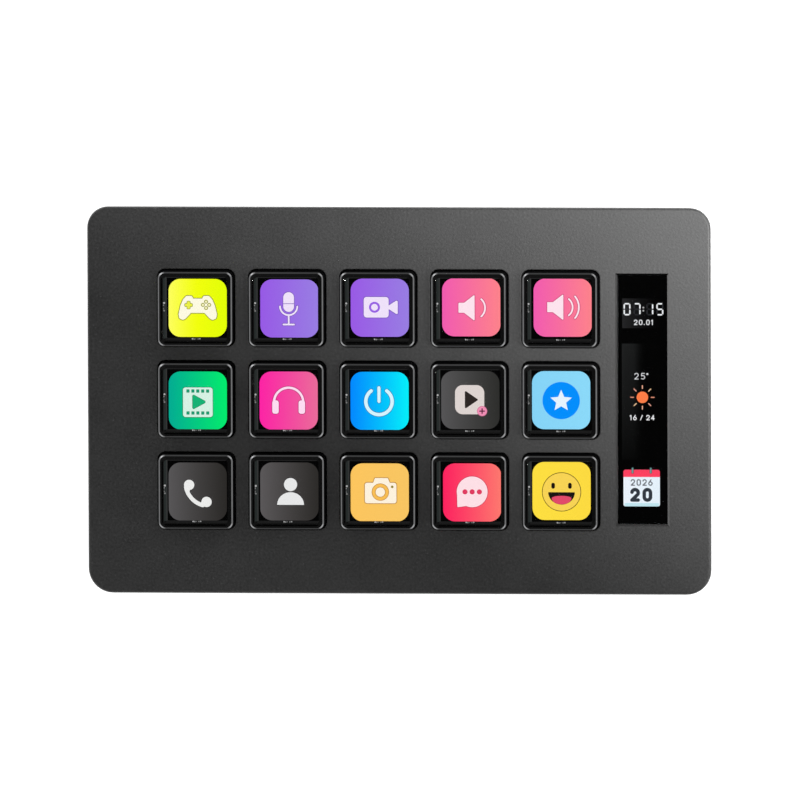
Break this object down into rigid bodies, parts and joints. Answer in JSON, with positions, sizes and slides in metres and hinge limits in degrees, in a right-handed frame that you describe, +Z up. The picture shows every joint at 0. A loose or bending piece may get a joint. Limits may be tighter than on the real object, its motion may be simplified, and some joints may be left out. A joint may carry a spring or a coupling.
{
  "type": "macro keypad",
  "caption": "Flat desktop macro keypad: a grid of clear push keys over one colour display, with a tall read-out strip at the right and a USB socket at the rear.",
  "frame": {"origin": "centre of the footprint, on the surface the rubber feet stand on", "axes": "+X to the right along the long side, +Y to the rear edge with the USB socket, +Z up out of the key faces"},
  "size_m": [0.13, 0.0808, 0.023],
  "materials": {
    "housing": "fine sandblasted texture, gunmetal grey with a satin sheen",
    "base": "fine texture, near black",
    "feet": "matt",
    "silicone": "matt",
    "guide": "moulded",
    "clear_lens": "polished, smoked",
    "clear_cap": "polished, clear",
    "film": "printed film",
    "lcd": "polarizer film, glossy",
    "backlight": "moulded",
    "tray_steel": "zinc plated",
    "board": "solder mask",
    "chips": "moulded epoxy",
    "passives": "ceramic",
    "socket_steel": "nickel plated",
    "insulator": "moulded",
    "ribbon": "polyimide film",
    "screw_steel": "black nickel"
  },
  "bodies": {
    "housing": {"top_cover": "housing", "bottom_cover": "base", "rubber_feet": "feet", "key_mat": "silicone", "key_guide_frame": "guide", "strip_lens": "clear_lens", "contact_sheet": "film", "lcd_glass": "lcd", "lcd_backlight": "backlight", "lcd_tray": "tray_steel", "main_board": "board", "board_chips": "chips", "board_passives": "passives", "usb_socket_shell": "socket_steel", "usb_socket_tongue": "insulator", "lcd_ribbon": "ribbon", "key_ribbon": "ribbon", "ribbon_connectors": "insulator", "case_screws": "screw_steel", "tray_screws": "screw_steel", "board_screws": "screw_steel"},
    "key_r1c1": {"keycap_r1c1": "clear_cap"},
    "key_r1c2": {"keycap_r1c2": "clear_cap"},
    "key_r1c3": {"keycap_r1c3": "clear_cap"},
    "key_r1c4": {"keycap_r1c4": "clear_cap"},
    "key_r1c5": {"keycap_r1c5": "clear_cap"},
    "key_r2c1": {"keycap_r2c1": "clear_cap"},
    "key_r2c2": {"keycap_r2c2": "clear_cap"},
    "key_r2c3": {"keycap_r2c3": "clear_cap"},
    "key_r2c4": {"keycap_r2c4": "clear_cap"},
    "key_r2c5": {"keycap_r2c5": "clear_cap"},
    "key_r3c1": {"keycap_r3c1": "clear_cap"},
    "key_r3c2": {"keycap_r3c2": "clear_cap"},
    "key_r3c3": {"keycap_r3c3": "clear_cap"},
    "key_r3c4": {"keycap_r3c4": "clear_cap"},
    "key_r3c5": {"keycap_r3c5": "clear_cap"}
  },
  "joints": [
    {"name": "press_r1c1", "type": "slide", "parent": "housing", "child": "key_r1c1", "axis": [0, 0, -1], "range_m": [0, 0.0015], "stiffness_N_per_m": 400, "springref_m": -0.0008, "deforming": ["key_mat"]},
    {"name": "press_r1c2", "type": "slide", "parent": "housing", "child": "key_r1c2", "axis": [0, 0, -1], "range_m": [0, 0.0015], "stiffness_N_per_m": 400, "springref_m": -0.0008, "deforming": ["key_mat"]},
    {"name": "press_r1c3", "type": "slide", "parent": "housing", "child": "key_r1c3", "axis": [0, 0, -1], "range_m": [0, 0.0015], "stiffness_N_per_m": 400, "springref_m": -0.0008, "deforming": ["key_mat"]},
    {"name": "press_r1c4", "type": "slide", "parent": "housing", "child": "key_r1c4", "axis": [0, 0, -1], "range_m": [0, 0.0015], "stiffness_N_per_m": 400, "springref_m": -0.0008, "deforming": ["key_mat"]},
    {"name": "press_r1c5", "type": "slide", "parent": "housing", "child": "key_r1c5", "axis": [0, 0, -1], "range_m": [0, 0.0015], "stiffness_N_per_m": 400, "springref_m": -0.0008, "deforming": ["key_mat"]},
    {"name": "press_r2c1", "type": "slide", "parent": "housing", "child": "key_r2c1", "axis": [0, 0, -1], "range_m": [0, 0.0015], "stiffness_N_per_m": 400, "springref_m": -0.0008, "deforming": ["key_mat"]},
    {"name": "press_r2c2", "type": "slide", "parent": "housing", "child": "key_r2c2", "axis": [0, 0, -1], "range_m": [0, 0.0015], "stiffness_N_per_m": 400, "springref_m": -0.0008, "deforming": ["key_mat"]},
    {"name": "press_r2c3", "type": "slide", "parent": "housing", "child": "key_r2c3", "axis": [0, 0, -1], "range_m": [0, 0.0015], "stiffness_N_per_m": 400, "springref_m": -0.0008, "deforming": ["key_mat"]},
    {"name": "press_r2c4", "type": "slide", "parent": "housing", "child": "key_r2c4", "axis": [0, 0, -1], "range_m": [0, 0.0015], "stiffness_N_per_m": 400, "springref_m": -0.0008, "deforming": ["key_mat"]},
    {"name": "press_r2c5", "type": "slide", "parent": "housing", "child": "key_r2c5", "axis": [0, 0, -1], "range_m": [0, 0.0015], "stiffness_N_per_m": 400, "springref_m": -0.0008, "deforming": ["key_mat"]},
    {"name": "press_r3c1", "type": "slide", "parent": "housing", "child": "key_r3c1", "axis": [0, 0, -1], "range_m": [0, 0.0015], "stiffness_N_per_m": 400, "springref_m": -0.0008, "deforming": ["key_mat"]},
    {"name": "press_r3c2", "type": "slide", "parent": "housing", "child": "key_r3c2", "axis": [0, 0, -1], "range_m": [0, 0.0015], "stiffness_N_per_m": 400, "springref_m": -0.0008, "deforming": ["key_mat"]},
    {"name": "press_r3c3", "type": "slide", "parent": "housing", "child": "key_r3c3", "axis": [0, 0, -1], "range_m": [0, 0.0015], "stiffness_N_per_m": 400, "springref_m": -0.0008, "deforming": ["key_mat"]},
    {"name": "press_r3c4", "type": "slide", "parent": "housing", "child": "key_r3c4", "axis": [0, 0, -1], "range_m": [0, 0.0015], "stiffness_N_per_m": 400, "springref_m": -0.0008, "deforming": ["key_mat"]},
    {"name": "press_r3c5", "type": "slide", "parent": "housing", "child": "key_r3c5", "axis": [0, 0, -1], "range_m": [0, 0.0015], "stiffness_N_per_m": 400, "springref_m": -0.0008, "deforming": ["key_mat"]}
  ]
}
